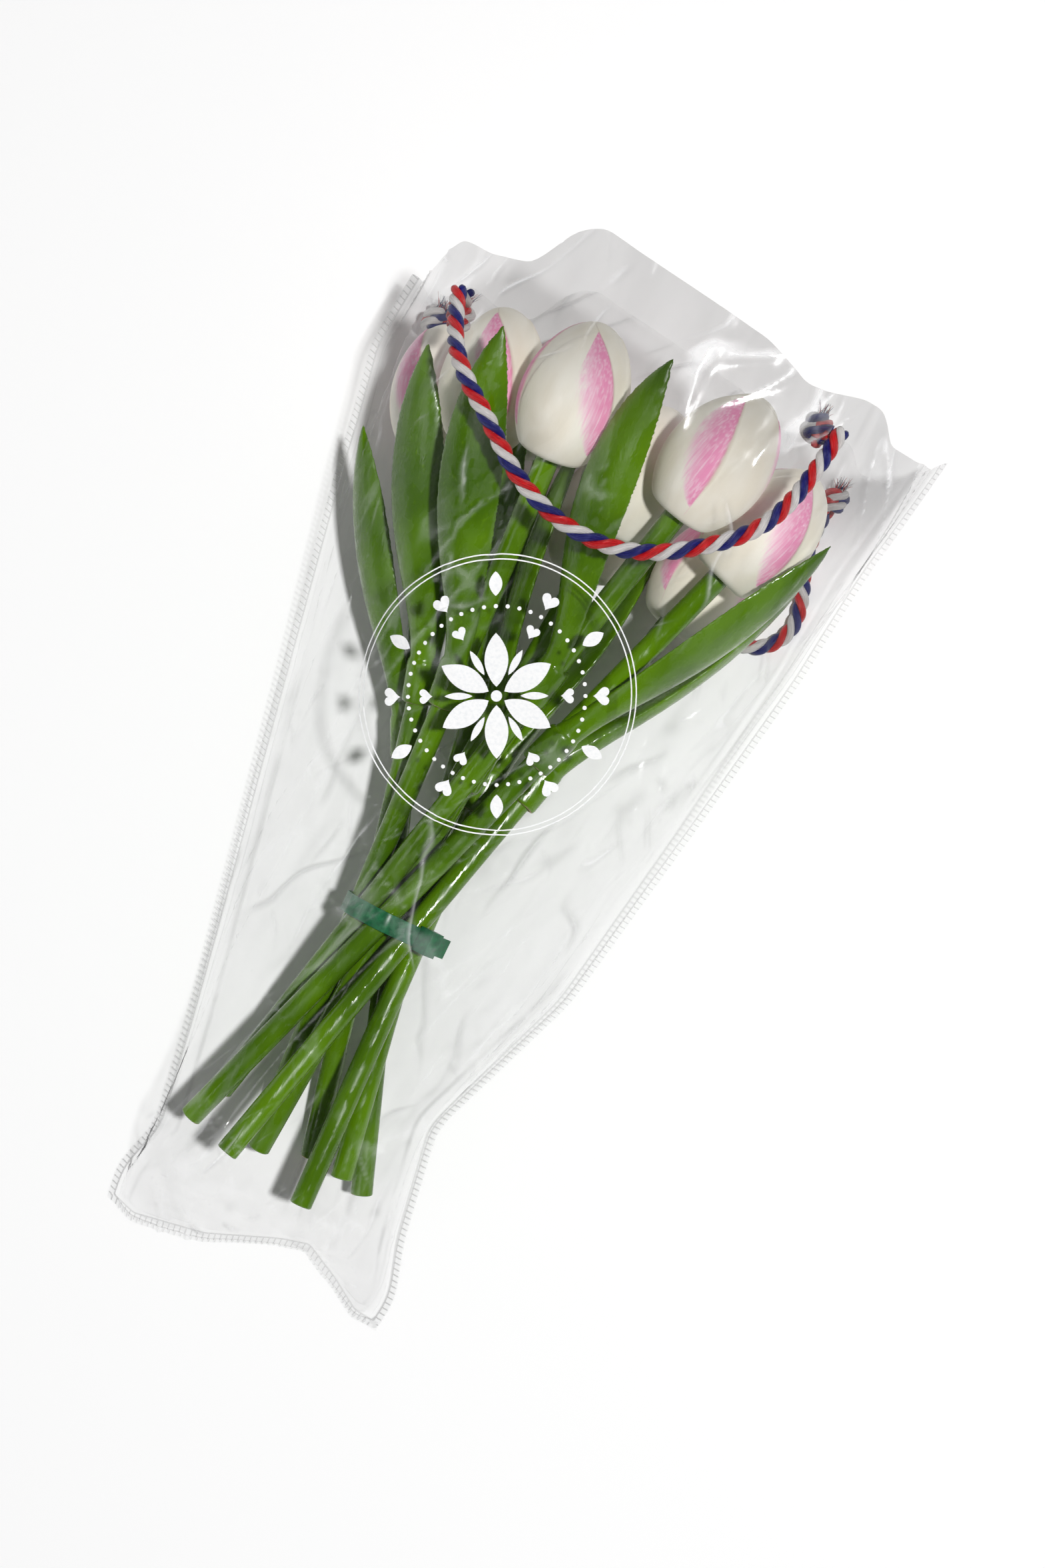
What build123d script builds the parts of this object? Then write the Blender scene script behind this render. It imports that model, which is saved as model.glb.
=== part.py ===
"""Nine carved wooden tulips, tied in a bunch and packed in a clear welded bag with two rope handles.

The bag lies on its back: +Y runs along it from the bottom weld to the mouth, +Z points up through the
front film, and the origin is under the middle of the bag, on the surface that it lies on.
"""

import math
import os

from build123d import *

os.makedirs("parts", exist_ok=True)

# Wooden parts: one dowel size, one carved head and one carved leaf serve all nine tulips.
stem_diameter = 8.5
stem_length = 280.0  # from the sawn end up to the head
stem_bevel = 0.4
head_length = 51.0
head_diameter = 37.2
petal_relief = 0.8  # how far the outer petals stand out of the inner bud
head_socket_depth = 16.0
leaf_length = 141.0
leaf_width = 24.6
leaf_thickness = 7.2
leaf_reach = 24.8  # how far the leaf's tip leans out from its stem
hub_diameter = 13.3
hub_length = 17.0
wood_fit = 0.06  # radial play of the glued stem
socket_end_gap = 0.3
overrun = 2.0

# The bunch is held where the stems cross: eight of them in a ring round the ninth.
tie_height = 36.6
stem_spacing = 0.75  # air between neighbours in the ring
strap_width = 7.4
strap_thickness = 1.3
strap_play = 0.25
lock_width = 9.4
lock_depth = 6.2
lock_height = 6.6
tail_length = 11.0

# The bag: two films welded along three edges, with the mouth left open.
bag_length = 396.0
side_room = 10.35  # from the bunch's widest head to the seam beside it
film_thickness = 0.5
weld_width = 5.0
front_room = 12.32  # from the bunch's highest head to the top of the front film
tie_share = 0.1313  # how far below the bag's middle the tie lies, as a share of the bag's length
bag_axis_offset = 6.0

# The handles: three-strand rope, knotted inside the film.
rope_diameter = 6.0
rope_hole_diameter = 7.6
knot_diameter = 10.8
knot_length = 13.0
rope_gap = 0.3
exit_gap = 0.55  # between the film and a handle's end

rope_radius = rope_diameter / 2
back_rise = rope_diameter + 2 * rope_gap  # the back film lies on the rear handle
stem_radius = stem_diameter / 2
tie_centre = Vector(-bag_axis_offset, -tie_share * bag_length, tie_height)


def station(along, across, up):
    """A place in the bunch, measured from the point on the floor below the tie."""
    return Vector(tie_centre.X + across, tie_centre.Y + along, up)


# One row per tulip: where its head starts (along as a share of the stem's length, across and up as shares
# of the head's diameter), its place in the ring at the tie (turn in degrees, radius share), the stem's
# own length share, its leaf: how far below the head it sits, which way it faces, its lean and sway, and how
# far the head's front petal is turned from straight up, in degrees.
head_step = head_diameter + 2 * petal_relief
tulip_shares = [
    # along, across, up, turn, ring, cut, leaf_drop, facing, lean, sway, head_turn
    (0.632, -0.515, 2.243, 186, 1.0, 1.0, 0.357, 100, 0.98, -0.8, -18),
    (0.636, 0.773, 2.36, 141, 1.0, 1.0, 0.307, 111, 1.3, -0.97, -38),
    (0.596, 1.392, 1.64, 96, 1.02, 1.0, 0.343, 35, 1.05, 0.0, -8),
    (0.586, 0.258, 1.577, 0, 0.0, 0.957, 0.386, 164, 1.0, 0.0, -64),
    (0.521, 1.186, 0.82, 43, 1.12, 0.914, 0.314, -10, 1.15, 0.0, 25),
    (0.614, -1.186, 1.59, 230, 1.06, 1.0, 0.35, 125, 1.02, -0.3, -30),
    (0.643, -0.593, 0.702, 320, 1.04, 1.0, 0.339, 137, 1.02, 0.0, 10),
    (0.582, -1.546, 0.79, 270, 1.19, 1.0, 0.4, 138, 0.92, 0.0, 40),
    (0.529, 0.19, 0.73, 0, 1.1, 0.921, 0.35, 330, 1.02, 0.0, -50),
]
ring_radius = (stem_diameter + stem_spacing) / (2 * math.sin(math.pi / 8))


def tulip_planes(along, across, up, turn, ring, cut, leaf_drop, facing, lean, sway, head_turn):
    """The head's, the stem's and the leaf's planes: Z runs up the stem and the leaf's X is where it faces."""
    head_at = station(along * stem_length, across * head_step, up * head_step)
    turned = math.radians(turn)
    reach = ring * ring_radius
    tied_at = station(0, reach * math.cos(turned), tie_height + reach * math.sin(turned))
    up_stem = (head_at - tied_at).normalized()
    outward = Vector(math.cos(math.radians(facing)), 0, math.sin(math.radians(facing)))
    facing_dir = (outward - up_stem * outward.dot(up_stem)).normalized()
    stem_axis = Axis(head_at, up_stem)
    top_dir = Vector(-up_stem.X * up_stem.Z, -up_stem.Y * up_stem.Z, 1 - up_stem.Z**2)
    head_plane = Plane(origin=head_at, x_dir=top_dir.rotate(stem_axis, head_turn), z_dir=up_stem)
    stem_plane = head_plane.offset(-cut * stem_length)
    leaf_foot = head_at - up_stem * (leaf_drop * stem_length)
    leaf_plane = Plane(origin=leaf_foot, x_dir=facing_dir, z_dir=up_stem)
    return head_plane, stem_plane, leaf_plane, tied_at, up_stem


# The carved head: an inner bud with three outer petals standing proud of it.
foot_share, belly_share, crown_share, foot_round_share = 0.56, 0.43, 0.6, 0.3
petal_foot_share, petal_belly_share, petal_belly_height_share, petal_tip_share = 0.5, 0.85, 0.4, 0.955


def bud(growth):
    """The bud's solid of revolution, grown outward for the petals: a long side arc under a round crown."""
    widest = head_diameter / 2 + growth
    foot = (foot_share * head_diameter / 2 + growth, 0)
    belly = (widest, belly_share * head_length)
    crown = crown_share * head_diameter / 2 + growth
    rise = head_length + growth - crown - belly[1]
    side = (widest**2 + rise**2 - crown**2) / (2 * (widest - crown))
    lean = math.atan2(rise, side - widest)
    meeting = (widest - side + side * math.cos(lean), belly[1] + side * math.sin(lean))
    with BuildPart() as form:
        with BuildSketch(Plane.XZ):
            with BuildLine():
                TangentArc(belly, foot, tangent=(0, -1))
                upper = TangentArc(belly, meeting, tangent=(0, 1))
                TangentArc(meeting, (0, head_length + growth), tangent=upper % 1)
                Line((0, head_length + growth), (0, 0))
                Line((0, 0), foot)
            make_face()
        revolve(axis=Axis.Z)
        rim = form.edges().filter_by(GeomType.CIRCLE).sort_by(Axis.Z)[0]
        fillet(rim, foot_round_share * head_diameter / 2)
    return form.part


with BuildPart() as petals:
    add(bud(petal_relief))
    with BuildSketch(Plane.YZ):
        with BuildLine():
            edge = ThreePointArc(
                (petal_foot_share * head_diameter / 2, -petal_relief),
                (petal_belly_share * head_diameter / 2, petal_belly_height_share * head_length),
                (0, petal_tip_share * head_length),
            )
            mirror(about=Plane.YZ)
            Line(edge @ 0, (-petal_foot_share * head_diameter / 2, -petal_relief))
        make_face()
    extrude(amount=head_diameter, mode=Mode.INTERSECT)

with BuildPart() as carved_head:
    add(bud(0))
    with PolarLocations(0, 3):
        add(petals.part)
    with BuildSketch(Plane.XY):
        Circle(stem_radius + wood_fit)
    extrude(amount=head_socket_depth, mode=Mode.SUBTRACT)

# The carved leaf: a drilled hub that the stem goes through, and a blade that leans out from it.
blade_height_shares = [0.04, 0.19, 0.38, 0.6, 0.83, 1.0]
blade_reach_shares = [0.0, 0.1, 0.42, 0.73, 0.93, 1.0]
blade_width_shares = [0.49, 0.47, 0.8, 1.0, 0.72, 0.05]
blade_crown_shares = [0.8, 0.74, 0.66, 0.62, 0.46, 0.05]
blade_inner_shares = [0.8, 0.7, 0.38, 0.26, 0.2, 0.04]


def leaf_on(plane, lean, sway):
    """A leaf whose hub starts at the plane. Lean and sway scale how far it reaches out and sideways."""
    with BuildPart() as form:
        for height, reach, width, crown, inner in zip(
            blade_height_shares,
            blade_reach_shares,
            blade_width_shares,
            blade_crown_shares,
            blade_inner_shares,
        ):
            out = reach * leaf_reach
            centre = plane.from_local_coords((lean * out, sway * out, height * leaf_length))
            half = width * leaf_width / 2
            with BuildSketch(Plane(origin=centre, x_dir=plane.x_dir, z_dir=plane.z_dir)):
                with BuildLine():
                    ThreePointArc((0, -half), (crown * leaf_thickness, 0), (0, half))
                    ThreePointArc((0, half), (-inner * leaf_thickness, 0), (0, -half))
                make_face()
        loft()
        with BuildSketch(plane):
            Circle(hub_diameter / 2)
        extrude(amount=hub_length)
        with BuildSketch(plane.offset(-overrun)):
            Circle(stem_radius + wood_fit)
        extrude(amount=leaf_length, mode=Mode.SUBTRACT)
    return form.part


strap_places = []
bunch_reach, bunch_top = 0, 0
for number, row in enumerate(tulip_shares, start=1):
    head_plane, stem_plane, leaf_plane, tied_at, up_stem = tulip_planes(*row)
    cut, lean, sway = row[5], row[8], row[9]
    run = up_stem * (strap_width / 2 / up_stem.Y)
    strap_places += [tied_at + run, tied_at - run]
    belly_at = head_plane.from_local_coords((0, 0, belly_share * head_length))
    bunch_reach = max(bunch_reach, abs(belly_at.X) + head_diameter / 2)
    bunch_top = max(bunch_top, belly_at.Z + head_diameter / 2)

    with BuildPart() as stem:
        with BuildSketch(stem_plane):
            Circle(stem_radius)
        extrude(amount=cut * stem_length + head_socket_depth - socket_end_gap)
        chamfer(stem.edges().sort_by(Axis(stem_plane.origin, stem_plane.z_dir))[0], stem_bevel)
    stem.part.label = f"stem_{number}"
    export_step(stem.part, f"parts/stem_{number}.step")

    with BuildPart() as flower_head:
        with Locations(head_plane.location):
            add(carved_head.part)
    flower_head.part.label = f"flower_head_{number}"
    export_step(flower_head.part, f"parts/flower_head_{number}.step")

    with BuildPart() as leaf:
        add(leaf_on(leaf_plane, lean, sway))
    leaf.part.label = f"leaf_{number}"
    export_step(leaf.part, f"parts/leaf_{number}.step")

# The cable tie is drawn tight round the stems, so its loop is the hull of their sections. Its lock sits on
# the stem that stands out most up and to the right, and the cut tail runs on from it.
tie_plane = Plane(origin=(tie_centre.X, tie_centre.Y, 0), x_dir=(1, 0, 0), z_dir=(0, -1, 0))
lock_turn = 40
lock_way = Vector(math.cos(math.radians(lock_turn)), 0, math.sin(math.radians(lock_turn)))
lock_stem = max(strap_places, key=lambda place: place.dot(lock_way))
lock_foot = lock_stem + lock_way * (stem_radius + strap_play + strap_thickness / 2)
lock_at = lock_foot + lock_way * (lock_height / 2)
tail_at = lock_at + Vector(lock_way.Z, 0, -lock_way.X) * (tail_length / 2)
loops = []
for growth in (strap_play, strap_play + strap_thickness):
    with BuildSketch() as loop:
        for place in strap_places:
            with Locations((place.X - tie_centre.X, place.Z)):
                Circle(stem_radius + growth)
        make_hull()
    loops.append(loop.sketch)
with BuildPart() as cable_tie:
    with BuildSketch(tie_plane):
        add(loops[1])
        add(loops[0], mode=Mode.SUBTRACT)
    extrude(amount=strap_width / 2, both=True)
    with BuildSketch(tie_plane):
        with Locations(Location((lock_at.X - tie_centre.X, lock_at.Z, 0), (0, 0, lock_turn))):
            Rectangle(lock_height, lock_depth)
    extrude(amount=lock_width / 2, both=True)
    with BuildSketch(tie_plane):
        with Locations(Location((tail_at.X - tie_centre.X, tail_at.Z, 0), (0, 0, lock_turn))):
            Rectangle(strap_thickness, tail_length)
    extrude(amount=strap_width / 2, both=True)
cable_tie.part.label = "cable_tie"
export_step(cable_tie.part, "parts/cable_tie.step")

# The bag's cross-sections from the bottom weld to the mouth. Along and height are shares of the bag's
# length and of the front film's height, the rest are shares of half the bag's width. The left and the
# right side have reaches of their own, because the bag is drawn in at a waist below the stems.
bag_width = 2 * (bunch_reach + side_room)
front_height = bunch_top + front_room
weld_share = weld_width / bag_length
bag_shares = [
    # along, left, right, seam, left shoulder, left top, right top, right shoulder, floor
    (0, 0.51, 0.527, 0.0045, (-0.46, 0.0055), (-0.25, 0.007), (0.25, 0.007), (0.47, 0.0055), (0.45, 0.46)),
    (weld_share, 0.52, 0.534, 0.0055, (-0.47, 0.0065), (-0.25, 0.0085), (0.25, 0.0085), (0.48, 0.0065), (0.46, 0.47)),
    (0.035, 0.53, 0.545, 0.01, (-0.485, 0.1), (-0.3, 0.17), (0.2, 0.17), (0.47, 0.09), (0.46, 0.47)),
    (0.086, 0.47, 0.52, 0.02, (-0.488, 0.35), (-0.314, 0.54), (0.14, 0.54), (0.398, 0.33), (0.42, 0.45)),
    (0.202, 0.545, 0.44, 0.03, (-0.489, 0.36), (-0.333, 0.545), (0.156, 0.545), (0.417, 0.335), (0.48, 0.38)),
    (0.369, 0.665, 0.644, 0.06, (-0.537, 0.39), (-0.351, 0.56), (0.179, 0.57), (0.487, 0.375), (0.59, 0.57)),
    (0.571, 0.81, 0.776, 0.11, (-0.683, 0.43), (-0.429, 0.67), (0.271, 0.7), (0.605, 0.485), (0.72, 0.69)),
    (0.747, 0.93, 0.88, 0.19, (-0.7875, 0.545), (-0.545, 0.86), (0.39, 0.906), (0.798, 0.61), (0.86, 0.81)),
    (0.874, 1, 0.925, 0.235, (-0.8546, 0.69), (-0.5876, 0.985), (0.4487, 0.995), (0.8974, 0.656), (0.965, 0.86)),
    (1, 0.97, 1, 0.25, (-0.876, 0.71), (-0.6047, 1), (0.4487, 1), (0.9166, 0.67), (0.955, 0.93)),
]
rise_share = 0.747  # the back film climbs on to the rear handle up to here


def bag_section(along, left, right, seam, *rest):
    """The place along the bag, and the inner faces of the front and the back film across it."""
    half = bag_width / 2
    seam_height = seam * front_height
    floor = min(along / rise_share, 1) * back_rise + film_thickness
    bends, (floor_left, floor_right) = rest[:-1], rest[-1]
    left_seam = [(-left * half - weld_width, seam_height), (-left * half, seam_height)]
    right_seam = [(right * half, seam_height), (right * half + weld_width, seam_height)]
    top = [(across * half, height * front_height) for across, height in bends]
    bottom = [(-floor_left * half, floor), (floor_right * half, floor)]
    return (along - 0.5) * bag_length, left_seam + top + right_seam, left_seam + bottom + right_seam


def thickened(points, thickness):
    """A closed outline round a film of even thickness whose one face runs through the points."""
    steps = [(b[0] - a[0], b[1] - a[1]) for a, b in zip(points, points[1:])]
    sides = [(-dz / math.hypot(dx, dz), dx / math.hypot(dx, dz)) for dx, dz in steps]
    outer = []
    for point, before, after in zip(points, [sides[0]] + sides, sides + [sides[-1]]):
        share = 1 + before[0] * after[0] + before[1] * after[1]
        outer.append(
            (
                point[0] + thickness * (before[0] + after[0]) / share,
                point[1] + thickness * (before[1] + after[1]) / share,
            )
        )
    return points + outer[::-1]


sections = [bag_section(*row) for row in bag_shares]


def on_front(along, panel, fraction):
    """A point on the front film's inner face, and the film's outward normal there."""
    place = (along - 0.5) * bag_length
    for (y0, first, _), (y1, second, _) in zip(sections, sections[1:]):
        if y0 <= place <= y1:
            ratio = (place - y0) / (y1 - y0)
            ends = [
                Vector(a[0] + (b[0] - a[0]) * ratio, place, a[1] + (b[1] - a[1]) * ratio)
                for a, b in zip(first[panel : panel + 2], second[panel : panel + 2])
            ]
            way = (ends[1] - ends[0]).normalized()
            return ends[0] + (ends[1] - ends[0]) * fraction, Vector(-way.Z, 0, way.X)
    raise ValueError("the place lies outside the bag")


# Each rope hole: a point on the film's inner face and the film's outward normal there.
front_left, front_left_way = on_front(0.9086, 2, 0.4545)
front_right, front_right_way = on_front(0.934, 4, 0.28)
rear_hole_share = 0.919
rear_left_share, rear_right_share = -0.907, 0.7478
rear_left = Vector(
    rear_left_share * bag_width / 2, (rear_hole_share - 0.5) * bag_length, back_rise + film_thickness
)
rear_right = Vector(rear_right_share * bag_width / 2, rear_left.Y, rear_left.Z)
down = Vector(0, 0, -1)

with BuildPart() as front_film:
    for place, front, back in sections:
        with BuildSketch(Plane(origin=(0, place, 0), x_dir=(1, 0, 0), z_dir=(0, -1, 0))):
            with BuildLine():
                Polyline(*thickened(front, film_thickness), close=True)
            make_face()
    loft(ruled=True)
    for at, way in ((front_left, front_left_way), (front_right, front_right_way)):
        with BuildSketch(Plane(origin=at - way * overrun, z_dir=way)):
            Circle(rope_hole_diameter / 2)
        extrude(amount=2 * overrun, mode=Mode.SUBTRACT)
front_film.part.label = "front_film"
export_step(front_film.part, "parts/front_film.step")

with BuildPart() as back_film:
    for place, front, back in sections:
        with BuildSketch(Plane(origin=(0, place, 0), x_dir=(1, 0, 0), z_dir=(0, -1, 0))):
            with BuildLine():
                Polyline(*thickened(back, -film_thickness), close=True)
            make_face()
    loft(ruled=True)
    for at in (rear_left, rear_right):
        with BuildSketch(Plane(origin=at - down * overrun, z_dir=down)):
            Circle(rope_hole_diameter / 2)
        extrude(amount=2 * overrun, mode=Mode.SUBTRACT)
back_film.part.label = "back_film"
export_step(back_film.part, "parts/back_film.step")

# A knot lies inside the film below each hole, and a short stub of its rope fills the hole.
knot_end_share, knot_waist_share = 0.6, 0.84
for name, at, way in (
    ("front_left_knot", front_left, front_left_way),
    ("front_right_knot", front_right, front_right_way),
    ("rear_left_knot", rear_left, down),
    ("rear_right_knot", rear_right, down),
):
    knot_centre = at - way * (rope_gap + knot_diameter / 2)
    end, waist = (share * knot_diameter / 2 for share in (knot_end_share, knot_waist_share))
    with BuildPart() as knot:
        with BuildSketch(Plane(origin=knot_centre, x_dir=(0, 1, 0), z_dir=Vector(0, 1, 0).cross(way))):
            with BuildLine():
                Polyline((-knot_length / 2, end), (-knot_length / 2, 0), (knot_length / 2, 0), (knot_length / 2, end))
                ThreePointArc((-knot_length / 2, end), (-knot_length / 4, knot_diameter / 2), (0, waist))
                ThreePointArc((0, waist), (knot_length / 4, knot_diameter / 2), (knot_length / 2, end))
            make_face()
        revolve(axis=Axis(knot_centre, (0, 1, 0)))
        with BuildSketch(Plane(origin=knot_centre, z_dir=way)):
            Circle(rope_radius)
        extrude(amount=knot_diameter / 2 + film_thickness + exit_gap)
    knot.part.label = name
    export_step(knot.part, f"parts/{name}.step")

# The handles lie as the photograph shows them: the front one down over the flowers, the rear one under
# the bag. Each ends in a round end over its hole, and swings about the line through both.
exit_lift = exit_gap + rope_radius
front_rope_route = [
    front_left + front_left_way * (film_thickness + exit_lift),
    (-74.5, 148.5, 114.8),
    (-65.5, 135.0, 126.2),
    (-47.0, 122.0, 124.6),
    (-31.0, 109.5, 119.6),
    (-8.0, 101.5, 118.2),
    (17.0, 103.5, 120.3),
    (40.0, 118.0, 126.4),
    (53.5, 132.5, 124.2),
    (60.0, 152.5, 120.4),
    front_right + front_right_way * (film_thickness + exit_lift),
]
rear_height = back_rise - exit_lift
rear_rope_route = [
    rear_left + down * (film_thickness + exit_lift),
    (-89.0, 144.0, rear_height),
    (-66.0, 125.0, rear_height),
    (-30.0, 117.5, rear_height),
    (10.0, 115.5, rear_height),
    (47.0, 107.0, rear_height),
    (71.0, 99.5, rear_height),
    (83.5, 109.5, rear_height),
    (84.5, 124.0, rear_height),
    (74.0, 147.5, rear_height),
    rear_right + down * (film_thickness + exit_lift),
]
for name, route in (("front_handle", front_rope_route), ("rear_handle", rear_rope_route)):
    route = [Vector(place) for place in route]
    runs = [b - a for a, b in zip(route, route[1:])]
    radii = [
        0.45 * min(before.length, after.length) / math.tan(math.radians(before.get_angle(after) / 2))
        for before, after in zip(runs, runs[1:])
    ]
    with BuildPart() as handle:
        with BuildLine() as rope_path:
            FilletPolyline(*route, radius=radii)
        with BuildSketch(Plane(origin=route[0], z_dir=runs[0])):
            Circle(rope_radius)
        sweep()
        with Locations(route[0], route[-1]):
            Sphere(rope_radius)
    handle.part.label = name
    export_step(handle.part, f"parts/{name}.step")
    length = rope_path.wires()[0].length
    expected = length * math.pi * rope_radius**2 + 4 / 3 * math.pi * rope_radius**3
    print(name, "radii", [round(radius, 1) for radius in radii], "length", round(length, 1))
    print(name, "volume over length times section", round(handle.part.volume / expected, 4))
    print(name, "ends", route[0], route[-1])
print("bag_width", bag_width, "front_height", front_height)
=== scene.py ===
"""Nine carved wooden tulips, tied in a bunch and packed in a clear gift bag with rope handles.

The bag lies on its back: +Y runs from its bottom weld to its mouth, and +Z points up through the front film.
Everything is in metres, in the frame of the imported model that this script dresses.
"""

import math

import bmesh
import bpy
import numpy as np
from mathutils import Matrix, Vector


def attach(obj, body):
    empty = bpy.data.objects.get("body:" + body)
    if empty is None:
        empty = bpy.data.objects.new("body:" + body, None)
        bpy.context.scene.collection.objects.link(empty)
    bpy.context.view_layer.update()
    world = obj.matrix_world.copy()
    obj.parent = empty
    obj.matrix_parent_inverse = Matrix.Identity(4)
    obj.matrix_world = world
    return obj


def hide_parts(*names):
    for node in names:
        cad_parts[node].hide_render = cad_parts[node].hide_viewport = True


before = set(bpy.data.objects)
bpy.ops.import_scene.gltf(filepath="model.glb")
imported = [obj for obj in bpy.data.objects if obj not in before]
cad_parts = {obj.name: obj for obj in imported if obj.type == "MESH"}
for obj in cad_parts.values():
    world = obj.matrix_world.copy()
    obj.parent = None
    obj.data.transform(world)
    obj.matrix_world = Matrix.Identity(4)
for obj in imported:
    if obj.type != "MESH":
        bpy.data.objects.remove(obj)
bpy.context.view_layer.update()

bl_info = {
    "name": "Wooden tulips in a gift bag",
    "version": (1, 0, 0),
    "blender": (4, 5, 0),
    "location": "View3D > Sidebar > Tulips",
    "description": "Dresses carved wooden tulips, their cable tie, clear bag and rope handles",
    "category": "Add Mesh",
}

MM = 0.001
TULIPS = range(1, 10)
VIEW_TILT = math.radians(26.1)  # how far the camera is turned from the bag's length
WELD_WIDTH = 0.005
MERGE_REACH = 0.00002  # points closer than this are one
HEAD_SOCKET = 0.0157  # how far a stem runs up inside its head
SAWN_FACING = -0.86  # stems' ends face down the bag by more than this
# Each head's front petal, in degrees from straight up, and how much further round two heads were glued.
HEAD_TURNS = (-18, -38, -8, -64, 25, -30, 10, 40, -50)
GLUED_TURNS = {1: 14, 2: -12}
# Leaves that were glued a little further round, bent to the left or right, or cut shorter: a turn about the
# stem and a swing above the table in degrees, and a share of the leaf's length.
LEAF_FITS = {1: (0, 3.2, 1), 2: (0, 1, 0.93), 3: (0, -0.4, 0.94), 6: (12, 4, 0.94), 8: (0, 6, 0.88)}


def paint(red, green, blue):
    """A display colour of 0 to 255 as the linear colour that shaders take."""
    shares = (channel / 255 for channel in (red, green, blue))
    return tuple(s / 12.92 if s <= 0.04045 else ((s + 0.055) / 1.055) ** 2.4 for s in shares)


def colour(name, description, display):
    """A colour property whose default is given as a display colour."""
    return bpy.props.FloatVectorProperty(
        name=name, description=description, default=paint(*display), subtype="COLOR", size=3, min=0, max=1
    )


def length(name, description, default):
    """A length property in metres."""
    return bpy.props.FloatProperty(
        name=name, description=description, default=default, min=0, unit="LENGTH", precision=5
    )


class TulipSettings(bpy.types.PropertyGroup):
    """Paints of the carved wooden tulips and their tie."""

    cream: colour("Cream", "Ground colour of the flower heads", (249, 245, 233))
    blush: colour("Blush", "Soft side of the brushed petal colour", (250, 212, 226))
    rose: colour("Rose", "Crisp side of the brushed petal colour", (242, 152, 192))
    green: colour("Green", "Gloss paint of the stems and leaves", (92, 134, 2))
    sap: colour("Sap green", "Deeper tone of the green paint", (62, 98, 1))
    end_grain: colour("End grain", "Bare wood at a stem's sawn end", (186, 160, 118))
    tie: colour("Tie", "Moulded nylon of the cable tie", (8, 84, 50))
    remesh: length("Head grain", "Size of the faces on the carved heads", 0.0008)
    leaf_remesh: length("Leaf grain", "Size of the faces on the carved leaves", 0.0006)


class BagSettings(bpy.types.PropertyGroup):
    """Film, welds and print of the bag."""

    haze: colour("Haze", "Tone that the clear film adds", (26, 27, 28))
    crease: length("Crease height", "Height of the film's larger creases", 0.0016)
    weld_width: length("Weld width", "Width of the welded strip along each side", WELD_WIDTH)
    weld_pitch: length("Weld pitch", "Length of one cell in the weld's ladder", 0.0023)
    ink: colour("Ink", "White print on the front film", (250, 250, 250))


class RopeSettings(bpy.types.PropertyGroup):
    """The three-strand satin rope."""

    red: colour("Red", "First strand", (230, 8, 18))
    white: colour("White", "Second strand", (232, 228, 224))
    navy: colour("Navy", "Third strand", (16, 24, 128))
    diameter: length("Diameter", "Width over all three strands", 0.006)
    lay: length("Lay", "Length in which a strand goes round once", 0.016)


class StageSettings(bpy.types.PropertyGroup):
    """Floor and lamps."""

    floor: colour("Floor", "Plain floor under the bag", (254, 254, 254))
    key_power: bpy.props.FloatProperty(
        name="Key lamp", description="Power of the main lamp", default=51, min=0, unit="POWER"
    )
    sky: bpy.props.FloatProperty(
        name="Sky", description="Strength of the surroundings overhead", default=0.1, min=0
    )


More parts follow.
